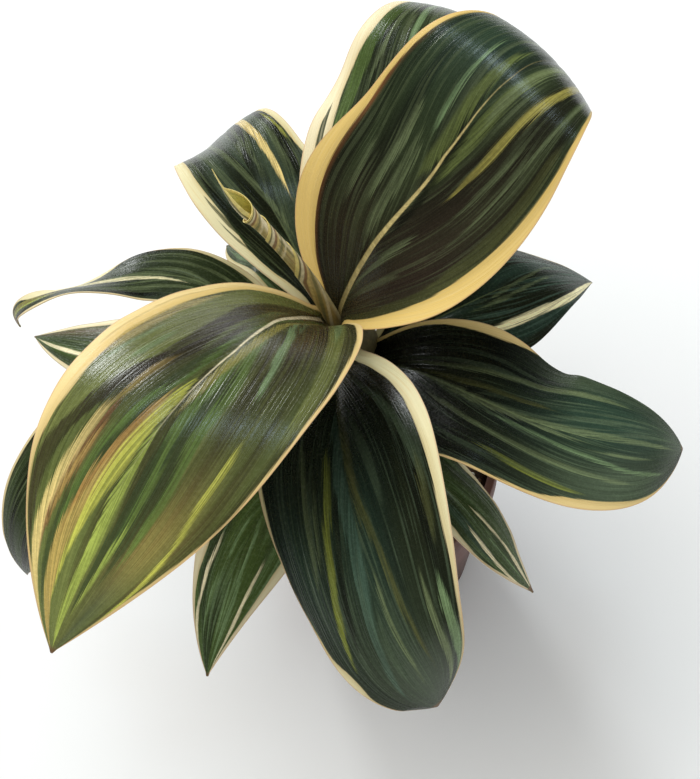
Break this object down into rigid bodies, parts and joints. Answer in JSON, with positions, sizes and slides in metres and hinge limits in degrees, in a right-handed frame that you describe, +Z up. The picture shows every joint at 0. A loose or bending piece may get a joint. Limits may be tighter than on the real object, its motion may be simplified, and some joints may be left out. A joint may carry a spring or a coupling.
{
  "type": "potted cordyline",
  "caption": "Young variegated cordyline with broad arching cream-edged leaves around a short upright stem, growing in a plain tapered pot.",
  "frame": {"origin": "centre of the pot's underside", "axes": "+Z up along the stem; the picture is taken from the -Y side, looking down"},
  "size_m": [0.2146, 0.2286, 0.2584],
  "materials": {
    "pot": "satin",
    "soil": "matte",
    "stem": "matte",
    "new_leaf": "satin",
    "leaf_01": "satin",
    "leaf_02": "satin",
    "leaf_03": "satin",
    "leaf_04": "satin",
    "leaf_05": "satin",
    "leaf_06": "satin",
    "leaf_07": "satin",
    "leaf_08": "satin",
    "leaf_09": "satin",
    "leaf_10": "satin",
    "leaf_11": "satin",
    "leaf_12": "satin",
    "leaf_13": "satin"
  },
  "bodies": {
    "root": {"pot": "pot", "soil": "soil", "stem": "stem", "new_leaf": "new_leaf", "leaf_01": "leaf_01", "leaf_02": "leaf_02", "leaf_03": "leaf_03", "leaf_04": "leaf_04", "leaf_05": "leaf_05", "leaf_06": "leaf_06", "leaf_07": "leaf_07", "leaf_08": "leaf_08", "leaf_09": "leaf_09", "leaf_10": "leaf_10", "leaf_11": "leaf_11", "leaf_12": "leaf_12", "leaf_13": "leaf_13"}
  },
  "joints": []
}
